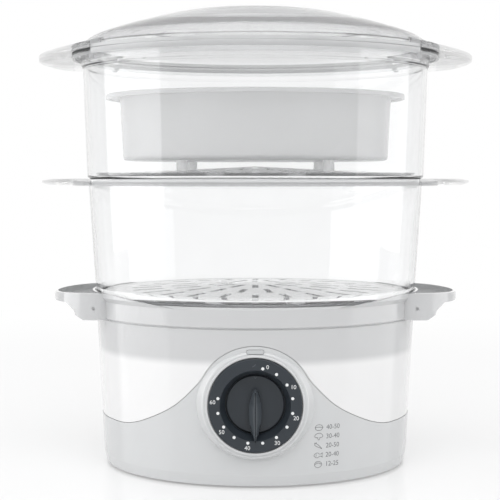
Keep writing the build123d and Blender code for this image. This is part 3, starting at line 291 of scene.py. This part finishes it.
# %% Metal and rubber
def metal(name, colour, rough, stretch=(1, 1, 14), lines=120.0):
    material, tree = new_material(name)
    place = node(tree, "TexCoord").outputs["Object"]
    mapped = node(tree, "Mapping", {"Vector": place, "Scale": stretch}).outputs[0]
    scratch = noise(tree, mapped, lines, 5.0)
    shader = surface(
        tree,
        blend(tree, scratch, shaded(colour, -0.12), shaded(colour, 0.08)),
        spread(tree, scratch, rough - 0.08, rough + 0.12),
        bumped(tree, scratch, 0.3, 0.02),
        {"Metallic": 1.0},
    )
    return finished(material, tree, shader)


def rubber(name, colour, rough=0.75):
    return moulded(name, colour, rough, grain=700.0, relief=0.05, drift=0.15, wear=0.08)


print("metal and rubber ready")


# %% [markdown]
# ## Which finish goes where
# The table pairs each finish with the solids that have it. Assigning to the first
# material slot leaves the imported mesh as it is.

# %% Finishes
SHELL_BRIGHT = (0.84, 0.84, 0.84)
# The dim colour below is painted shade on the upper part of the shell, above the edge's height.
SHELL_PAINTED_SHADE = (0.58, 0.585, 0.59)
SHELL_EDGE, SHELL_SOFT = 79.0, 3.0  # height of the change between them, and half its width
FASCIA = (0.62, 0.63, 0.635)
SLATE = (0.026, 0.033, 0.041)
SLATE_GRAIN = 2200.0
# The rims' milky share is painted light, for the pale band of the thick clear rims.
RIM_PAINTED_LIGHT = 0.55  # milky share of the clear rims

finishes = [
    (
        shell_with_painted_shade("gloss_white_shell", SHELL_BRIGHT, SHELL_PAINTED_SHADE, SHELL_EDGE, SHELL_SOFT, 0.16),
        ["base_housing"],
    ),
    (moulded("satin_white_fascia", FASCIA, 0.24, coat=0.9), ["control_fascia"]),
    (
        moulded("slate_dial_plastic", SLATE, 0.34, grain=SLATE_GRAIN, relief=0.02, wear=0.05),
        ["dial_ring", "timer_knob", "timer_shaft"],
    ),
    (moulded("lamp_lens_plastic", (0.55, 0.56, 0.57), 0.12), ["pilot_lens"]),
    (moulded("tank_plastic_white", (0.74, 0.75, 0.75), 0.30), ["water_tank"]),
    (
        moulded("cover_plastic_grained", (0.66, 0.66, 0.66), 0.55, grain=900.0, relief=0.05),
        ["bottom_cover", "cord_gland"],
    ),
    (moulded("timer_case_black", (0.03, 0.03, 0.032), 0.5), ["timer_case"]),
    (moulded("terminal_cream", (0.72, 0.70, 0.62), 0.5), ["terminal_block", "thermal_fuse"]),
    (moulded("sheath_brown", (0.16, 0.07, 0.03), 0.45), ["live_wire"]),
    (moulded("sheath_red", (0.45, 0.04, 0.03), 0.45), ["switched_wire"]),
    (moulded("sheath_blue", (0.04, 0.10, 0.38), 0.45), ["neutral_wire"]),
    (rubber("foot_rubber_black", (0.035, 0.035, 0.037)), ["rubber_feet"]),
    (rubber("gasket_silicone_red", (0.30, 0.06, 0.04), 0.6), ["heater_gasket"]),
    (metal("heater_aluminium_turned", (0.74, 0.74, 0.75), 0.34), ["heater_plate"]),
    (metal("element_sheath_tinted", (0.36, 0.32, 0.28), 0.45), ["heating_element"]),
    (metal("pressed_steel", (0.60, 0.60, 0.60), 0.32), ["heater_clamp", "timer_gong", "thermostat"]),
    (metal("zinc_screw_steel", (0.66, 0.66, 0.64), 0.30), ["heater_screws", "timer_screws", "bottom_screws"]),
    (metal("terminal_brass_stamped", (0.76, 0.58, 0.28), 0.3), ["timer_terminals"]),
    (clear("lamp_glass", (0.95, 0.93, 0.90), 0.02), ["pilot_lamp"]),
    (clear("frosted_tray_plastic", (0.90, 0.91, 0.92), 0.22, haze=0.35), ["drip_tray", "steam_ring"]),
    (
        clear("clear_basket_plastic", (0.985, 0.988, 0.99), 0.0, smoke=2.0, satin=RIM_PAINTED_LIGHT),
        ["lower_basket", "upper_basket"],
    ),
    (
        clear("clear_floor_plastic", (0.96, 0.965, 0.97), 0.03, haze=0.10, smoke=3.0),
        ["lower_floor", "upper_floor"],
    ),
    (clear("clear_lid_plastic", (0.91, 0.913, 0.916), 0.0, haze=0.12, smoke=3.0, satin=RIM_PAINTED_LIGHT), ["lid"]),
    (clear("milky_bowl_plastic", (0.86, 0.863, 0.866), 0.25, haze=0.55, smoke=4.0), ["rice_bowl"]),
]
dressed = 0
for finish, names in finishes:
    for name in names:
        nodes[name].data.materials.clear()
        nodes[name].data.materials.append(finish)
        dressed += 1
print("finishes:", len(finishes), "solids dressed:", dressed, "of", len(nodes))


# %% [markdown]
# ## Ink on plastic
# The scale of the dial and the table of cooking times are pad printed: a film of ink a few
# hundredths of a millimetre thick. Such a film is too thin for a solid, but thick enough
# to catch the light, so each sign is modelled flat in the front view, with x across and z
# up, and given that thickness. The grey and white inks get their own grainy finish. So do
# the raised marks and the fin of the timer, whose paler copies of the knob's slate are painted light.

# %% Inks
INK = 0.06  # thickness of the film in millimetres; half of it lies in the surface
INK_GRAIN = 3000.0
white_ink = moulded("white_pad_ink", (0.82, 0.83, 0.83), 0.45, grain=INK_GRAIN, relief=0.01, drift=0.04)
grey_ink = moulded("grey_pad_ink", (0.16, 0.165, 0.17), 0.45, grain=INK_GRAIN, relief=0.01, drift=0.10)
# The fin and the raised marks are the knob's slate made paler: painted light, for the light that their raised
# faces catch.
fin_slate_painted_light = moulded("fin_slate_painted_light_plastic", (0.062, 0.072, 0.082), 0.26, SLATE_GRAIN, relief=0.02, wear=0.04)
relief_slate_painted_light = moulded("relief_slate_painted_light", (0.11, 0.125, 0.14), 0.32, SLATE_GRAIN, relief=0.02)


def ready(piece):
    """Fixes the piece's place in its mesh and returns it."""
    bpy.ops.object.convert(target="MESH")
    bpy.ops.object.transform_apply(location=True, rotation=True, scale=True)
    return piece


print("inks:", white_ink.name, grey_ink.name)


# %% [markdown]
# ## Signs
# Three kinds of sign are enough. Words are text objects, turned upright and made a mesh. A
# dot is a filled circle that is extruded and inset, so that its rim is rounded as a drop
# of ink is. A stroke is a thin round line along a few points, as a pen would draw it.

# %% Signs
CAP = 0.70  # height of a numeral as a share of the text size
DROP = 0.12  # width of a dot's rounded rim in millimetres


def words(text, height, place, side="CENTER"):
    bpy.ops.object.select_all(action="DESELECT")
    bpy.ops.object.text_add(location=(place[0] * MM, 0, place[1] * MM), rotation=(pi / 2, 0, 0))
    sign = bpy.context.object
    sign.data.body = text
    sign.data.size = height * MM / CAP
    sign.data.align_x = side
    sign.data.align_y = "CENTER"
    sign.data.resolution_u = 3
    sign.data.extrude = INK / 2 * MM
    return ready(sign)


def dot(radius, place):
    bpy.ops.object.select_all(action="DESELECT")
    bpy.ops.mesh.primitive_circle_add(
        vertices=24,
        radius=radius * MM,
        fill_type="NGON",
        location=(place[0] * MM, INK / 2 * MM, place[1] * MM),
        rotation=(pi / 2, 0, 0),
    )
    sign = bpy.context.object
    bpy.ops.object.mode_set(mode="EDIT")
    bpy.ops.mesh.extrude_region_move(TRANSFORM_OT_translate={"value": (0, -INK * 0.7 * MM, 0)})
    bpy.ops.mesh.inset(thickness=DROP * MM, depth=INK * 0.3 * MM)
    bpy.ops.mesh.select_all(action="SELECT")
    bpy.ops.mesh.normals_make_consistent(inside=False)
    bpy.ops.object.mode_set(mode="OBJECT")
    return ready(sign)


def stroke(points, place, thick, closed=False):
    """A round line through points (across, up) around a place."""
    bpy.ops.object.select_all(action="DESELECT")
    line = bpy.data.curves.new("stroke", "CURVE")
    line.dimensions = "3D"
    line.bevel_depth = thick / 2 * MM
    line.bevel_resolution = 1
    line.resolution_u = 6
    line.use_fill_caps = True
    run = line.splines.new("NURBS")
    run.points.add(len(points) - 1)
    for knot, (across, up) in zip(run.points, points):
        knot.co = ((place[0] + across) * MM, 0, (place[1] + up) * MM, 1)
    run.order_u = 3
    run.use_endpoint_u = not closed
    run.use_cyclic_u = closed
    sign = bpy.data.objects.new("stroke", line)
    scene.collection.objects.link(sign)
    sign.select_set(True)
    bpy.context.view_layer.objects.active = sign
    return ready(sign)


def joined(signs, name, ink):
    bpy.ops.object.select_all(action="DESELECT")
    for sign in signs:
        sign.select_set(True)
    bpy.context.view_layer.objects.active = signs[0]
    if len(signs) > 1:
        bpy.ops.object.join()
    piece = bpy.context.object
    piece.name = name
    piece.data.materials.clear()
    piece.data.materials.append(ink)
    return piece


print("signs ready")


# %% [markdown]
# ## The minute scale
# The timer runs an hour over 270 degrees. A dot stands for every five minutes, 22.5
# degrees apart, and every second one has its number, a little further round and out. The
# dial is flat, so the signs only have to be moved onto its front face.

# %% Minute scale
dial_low, dial_high = [Vector(corner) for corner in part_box("dial_ring")]
dial_middle = (dial_low + dial_high) / 2
dial_face = dial_low.y
DOT_RADIUS = 0.95
DOT_CIRCLE = 23.2
FIRST_DOT = 11.25
DOT_STEP = 22.5
NUMBER_HEIGHT = 2.5
NUMBERS = [  # the number, its angle from the top and its distance from the dial's middle
    ("0", 17.6, 24.8),
    ("10", 63.7, 25.9),
    ("20", 106.9, 26.0),
    ("30", 149.5, 26.4),
    ("40", 190.6, 26.4),
    ("50", 231.8, 26.1),
    ("60", 274.8, 26.1),
]


def on_dial(degrees, radius):
    turn = radians(degrees)
    return dial_middle.x / MM + radius * sin(turn), dial_middle.z / MM + radius * cos(turn)


scale = [dot(DOT_RADIUS, on_dial(FIRST_DOT + DOT_STEP * i, DOT_CIRCLE)) for i in range(13)]
scale += [words(text, NUMBER_HEIGHT, on_dial(angle, radius)) for text, angle, radius in NUMBERS]
minute_scale = joined(scale, "minute_scale", white_ink)
minute_scale.data.transform(Matrix.Translation((0, dial_face, 0)))
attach(minute_scale, "base")
print("minute scale:", len(NUMBERS), "numbers, faces", len(minute_scale.data.polygons))


# %% [markdown]
# ## Index marks
# Two small raised strokes belong to the timer. A slanted one on the dial marks its top,
# and a small v on the knob's face stands opposite the tip of its fin and turns with it.

# %% Index marks
MARK_PEN = 0.4
TOP_MARK = (358.2, 24.5)  # angle from the top and distance from the dial's middle
KNOB_MARK = (0, 16.2)
IN_FRONT = -0.3  # metres along y, where the ray that looks for the knob's face starts

slant = stroke([(-0.9, -0.7), (0, 0), (0.9, 0.9)], on_dial(*TOP_MARK), MARK_PEN)
top_mark = joined([slant], "dial_top_mark", relief_slate_painted_light)
top_mark.data.transform(Matrix.Translation((0, dial_face, 0)))
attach(top_mark, "base")

knob_top = on_dial(*KNOB_MARK)
small_v = stroke([(-0.8, 0.7), (0, -0.5), (0, -0.5), (0.8, 0.7)], knob_top, MARK_PEN)
knob_mark = joined([small_v], "knob_mark", relief_slate_painted_light)
start = Vector((knob_top[0] * MM, IN_FRONT, knob_top[1] * MM))
found, knob_face, _, _ = nodes["timer_knob"].ray_cast(start, Vector((0, 1, 0)))
knob_mark.data.transform(Matrix.Translation((0, knob_face.y, 0)))
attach(knob_mark, "knob")
print("knob face found:", found, round(knob_face.y / MM, 2), "mm")


# %% [markdown]
# ## The pointer
# The fin is the grip of the timer: its foot is a long slim oval that swells a little, then
# two flanks lean in to a narrow crest, which reaches out over the scale. It starts as a
# disc. Each level is an extrusion that is scaled about its own middle and pushed forward,
# and the crest is bevelled at the end.

# %% Pointer fin
knob_low = Vector(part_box("timer_knob")[0])
FIN_TAIL = 9.7  # lengths along the fin from the dial's middle, up and down
FIN_FOOT = 17.0
FIN_REACH = (dial_middle.z - knob_low.z) / MM + 0.1
FIN_WIDTH = 7.8
FIN_DRAFT = 0.6  # how much narrower its foot is
FIN_CREST = 1.5
CREST_TAIL = FIN_TAIL - 1.0
CREST_ROUND = 0.3
ROOT = 0.3  # how deep the foot stands in the knob's face
SKIN = 0.05  # how far the crest stands in front of the solid's
SHOULDER = 0.55  # where the flanks start, as a share of the way to the crest
shoulder = knob_face.y + SHOULDER * (knob_low.y - knob_face.y)
fin_levels = [  # depth in metres, then width, tail and foot in millimetres
    (knob_face.y + ROOT * MM, FIN_WIDTH - FIN_DRAFT, FIN_TAIL, FIN_FOOT),
    (shoulder, FIN_WIDTH, FIN_TAIL, (FIN_FOOT + FIN_REACH) / 2),
    (knob_low.y - SKIN * MM, FIN_CREST, CREST_TAIL, FIN_REACH),
]


def level_middle(level):
    depth, _, tail, foot = level
    return Vector((dial_middle.x, depth, dial_middle.z + (tail - foot) / 2 * MM))


bpy.ops.object.select_all(action="DESELECT")
_, width, tail, foot = fin_levels[0]
bpy.ops.mesh.primitive_circle_add(
    vertices=48,
    radius=0.5,
    fill_type="NGON",
    location=level_middle(fin_levels[0]),
    rotation=(pi / 2, 0, 0),
)
fin = bpy.context.object
fin.scale = (width * MM, (tail + foot) * MM, 1)
bpy.ops.object.transform_apply(location=True, rotation=True, scale=True)
bpy.ops.object.mode_set(mode="EDIT")
for below, above in zip(fin_levels, fin_levels[1:]):
    middle = level_middle(below)
    growth = (above[1] / below[1], 1, (above[2] + above[3]) / (below[2] + below[3]))
    bpy.ops.mesh.extrude_region_move(TRANSFORM_OT_translate={"value": (0, 0, 0)})
    bpy.ops.transform.resize(value=growth, center_override=middle)
    bpy.ops.transform.translate(value=level_middle(above) - middle)
bpy.ops.mesh.bevel(offset=CREST_ROUND * MM, segments=2, affect="EDGES")
bpy.ops.mesh.select_all(action="SELECT")
bpy.ops.mesh.normals_make_consistent(inside=False)
bpy.ops.object.mode_set(mode="OBJECT")
bpy.ops.object.shade_smooth_by_angle(angle=radians(35))
pointer_fin = joined([fin], "pointer_fin", fin_slate_painted_light)
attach(pointer_fin, "knob")
print("pointer fin faces:", len(pointer_fin.data.polygons))


# %% [markdown]
# ## The cooking times
# Five rows at the right of the fascia pair a small picture of a food with its minutes. The
# pictures are plain outlines: a squash, a broccoli head, a carrot, a fish and a nut. They are
# drawn with a few pen strokes each, in a box of about six by five millimetres.

# %% Food pictures
PEN = 0.32  # thickness of a stroke in millimetres


def oval(width, height, points=8):
    turns = [2 * pi * i / points for i in range(points)]
    return [(width / 2 * cos(turn), height / 2 * sin(turn)) for turn in turns]


def squash(place):
    skin = [(-2.9, 0), (-1.6, 1.8), (1.4, 1.9), (2.9, 0), (1.4, -1.9), (-1.6, -1.8)]
    return [
        stroke(skin, place, PEN, closed=True),
        stroke([(-2.9, 0), (0, 0.5), (2.9, 0)], place, PEN),
    ]


def broccoli(place):
    left = [(-1.0, -0.4), (-2.9, -0.5), (-2.8, 1.2), (-1.2, 2.2)]
    right = [(0.8, 2.4), (2.6, 1.4), (2.9, -0.4), (1.0, -0.4)]
    return [
        stroke(left + right, place, PEN),
        stroke([(-0.8, -0.3), (-0.6, -1.9), (0.6, -1.9), (0.8, -0.3)], place, PEN),
    ]


def carrot(place):
    return [
        stroke([(-2.6, 1.6), (-1.6, 2.0), (2.8, -2.0), (1.4, -1.4), (-2.9, 0.4)], place, PEN, closed=True),
        stroke([(-2.4, 1.3), (-3.0, 2.3)], place, PEN),
        stroke([(-2.0, 1.6), (-1.6, 2.6)], place, PEN),
    ]


def fish(place):
    back = [(2.9, 1.5), (1.2, 0.1), (-0.6, 1.9), (-3.0, 0.6)]
    belly = [(across, -up) for across, up in reversed(back)]
    return [
        stroke(back + belly, place, PEN),
        stroke([(2.9, 1.5), (2.2, 0), (2.9, -1.5)], place, PEN),
        stroke([(-1.7, 0.7), (-1.2, 0), (-1.7, -0.7)], place, PEN),
    ]


def nut(place):
    return [
        stroke(oval(5.4, 4.2), place, PEN, closed=True),
        stroke([(-2.2, 0.1), (-0.8, 0.9), (0.8, 0.9), (2.2, 0.1)], place, PEN),
    ]


print("food pictures ready")


# %% [markdown]
# The rows stand at even steps below each other, each picture at the left of its minutes.
# All signs of the table become one piece.

# %% Cooking times
TOP_ROW = 37.0
ROW_STEP = 5.8
PICTURE_PLACE = 41.0
MINUTES_PLACE = 46.0
MINUTES_HEIGHT = 3.0
ROWS = [
    (squash, "40-50"),
    (broccoli, "30-40"),
    (carrot, "20-50"),
    (fish, "20-40"),
    (nut, "12-25"),
]

table_signs = []
for row, (picture, minutes) in enumerate(ROWS):
    height = TOP_ROW - row * ROW_STEP
    table_signs += picture((PICTURE_PLACE, height))
    table_signs.append(words(minutes, MINUTES_HEIGHT, (MINUTES_PLACE, height), side="LEFT"))
time_table = joined(table_signs, "time_table", grey_ink)
print("time table faces:", len(time_table.data.polygons))


# %% [markdown]
# The fascia is part of a cone, so the flat table has to be wrapped round it. Every point
# keeps its height and its distance across becomes a distance round the axis. A ray from
# outside finds the surface there, and the point's depth is measured from that.

# %% Wrapping round the fascia
fascia = nodes["control_fascia"]
OUTSIDE = 0.2  # metres from the axis, where the rays start
WRAP_RADIUS = 0.1055  # metres from the axis at the table's height
for point in time_table.data.vertices:
    across, depth, height = point.co
    turn = across / WRAP_RADIUS
    away = Vector((sin(turn), -cos(turn), 0))
    found, hit, _, _ = fascia.ray_cast(away * OUTSIDE + Vector((0, 0, height)), -away)
    if not found:
        raise ValueError("the time table leaves the fascia")
    point.co = hit - away * depth
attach(time_table, "base")
print("table wrapped:", len(time_table.data.vertices), "points")


# %% [markdown]
# ## The studio
# The steamer stands on a pale glossy table in a white room. The sky is white to the camera
# and behind the object, and greyer at the sides and the front: clear walls show where they
# bend light towards the grey. Two tall panels stand left and right, and leave upright
# pale bands with crisp edges on the baskets and on the base.

# %% World
DIM_SKY = (0.60, 0.60, 0.605, 1)
WHITE_SKY = (1, 1, 1, 1)
world = bpy.data.worlds.new("studio")
scene.world = world
world.use_nodes = True
sky = world.node_tree
sky.nodes.clear()
way = node(sky, "SeparateXYZ", {0: node(sky, "TexCoord").outputs["Generated"]})
ahead = node(sky, "MapRange", {"Value": way.outputs["Y"], "From Min": 0.55, "From Max": 0.90})
steep = node(sky, "Math", {0: way.outputs["Z"]}, operation="ABSOLUTE")
level = node(sky, "MapRange", {"Value": steep.outputs[0], "From Min": 0.42, "From Max": 0.16})
wall = node(sky, "Math", {0: ahead.outputs["Result"], 1: level.outputs["Result"]}, operation="MULTIPLY")
shade = blend(sky, wall.outputs[0], DIM_SKY, WHITE_SKY)
around = node(sky, "Background", {"Color": shade, "Strength": 1.0}).outputs[0]
white = node(sky, "Background", {"Color": WHITE_SKY, "Strength": 1.0}).outputs[0]
to_camera = node(sky, "LightPath").outputs["Is Camera Ray"]
choose = node(sky, "MixShader", {0: to_camera, 1: around, 2: white})
node(sky, "OutputWorld", {"Surface": choose.outputs[0]})
print("sky nodes:", len(sky.nodes))


# %% [markdown]
# Each panel is a rectangular lamp, turned to its aim. Its power follows from its size, so
# that glow is the brightness seen in a mirror, with 1 for white. The last two are the wide
# ones above and in front, which light the face of the base and the dome of the lid.

# %% Panels
def panel(name, place, aim, width, height, glow):
    bpy.ops.object.light_add(type="AREA", location=place)
    lamp = bpy.context.object
    lamp.name = name
    lamp.data.shape = "RECTANGLE"
    lamp.data.size = width
    lamp.data.size_y = height
    lamp.data.energy = glow * pi * width * height
    lamp.rotation_euler = (Vector(aim) - Vector(place)).to_track_quat("-Z", "Y").to_euler()


PANELS = [  # name, place, aim, width, height and glow
    ("left_panel", (-1.2, -0.065, 0.45), (0, -0.065, 0.45), 1.15, 1.3, 1.45),
    ("right_panel", (1.2, 0.06, 0.45), (0, 0.06, 0.45), 1.10, 1.3, 0.95),
    ("front_panel", (0, -1.5, 1.5), (0, 0, 0.12), 2.4, 1.2, 1.7),
    ("top_panel", (0, -0.75, 1.7), (0, 0, 0.1), 1.8, 1.0, 1.2),
]
for details in PANELS:
    panel(*details)
print("panels:", len(PANELS))


# %% [markdown]
# ## The table
# A glossy white sheet carries the steamer. Near it the sheet takes its shadow and a faint
# mirror image; farther off it melts into the white room. To the camera a third of its light
# is a plain glow near the steamer, and all of it far away. Rays that come through the clear
# plastic see plain white everywhere.

# %% Table
NEAR, FAR = 0.30, 1.10  # metres from the middle over which the sheet turns plain white
SHEET_GLOW = 0.35  # share of plain white at the middle
SHEET_ROUGH = 0.04
SHEET_SIZE, SHEET_SHIFT = 12, 3.0  # metres; it reaches farther behind the steamer than in front
bpy.ops.object.select_all(action="DESELECT")
bpy.ops.mesh.primitive_plane_add(size=SHEET_SIZE, location=(0, SHEET_SHIFT, 0))
table = bpy.context.object
table.name = "table"
bpy.ops.object.transform_apply(location=True)
sheet, tree = new_material("glossy_white_sheet")
place = node(tree, "TexCoord").outputs["Object"]
tone = blend(tree, noise(tree, place, 3.0, 3.0), (0.90, 0.90, 0.90, 1), (0.92, 0.92, 0.92, 1))
lit = node(tree, "BsdfPrincipled", {"Base Color": tone, "Roughness": SHEET_ROUGH}).outputs[0]
glow = node(tree, "Emission", {"Color": (1, 1, 1, 1), "Strength": 1.0}).outputs[0]
apart = node(tree, "VectorMath", {0: place}, operation="LENGTH").outputs["Value"]
far = node(
    tree,
    "MapRange",
    {"Value": apart, "From Min": NEAR, "From Max": FAR, "To Min": SHEET_GLOW, "To Max": 1.0},
    interpolation_type="SMOOTHSTEP",
).outputs["Result"]
rays = node(tree, "LightPath").outputs
seen = node(tree, "Math", {0: rays["Is Camera Ray"], 1: far}, operation="MULTIPLY").outputs[0]
share = node(tree, "Math", {0: seen, 1: rays["Is Transmission Ray"]}, operation="MAXIMUM").outputs[0]
mix = node(tree, "MixShader", {0: share, 1: lit, 2: glow}).outputs[0]
table.data.materials.append(finished(sheet, tree, mix))
print("table laid")
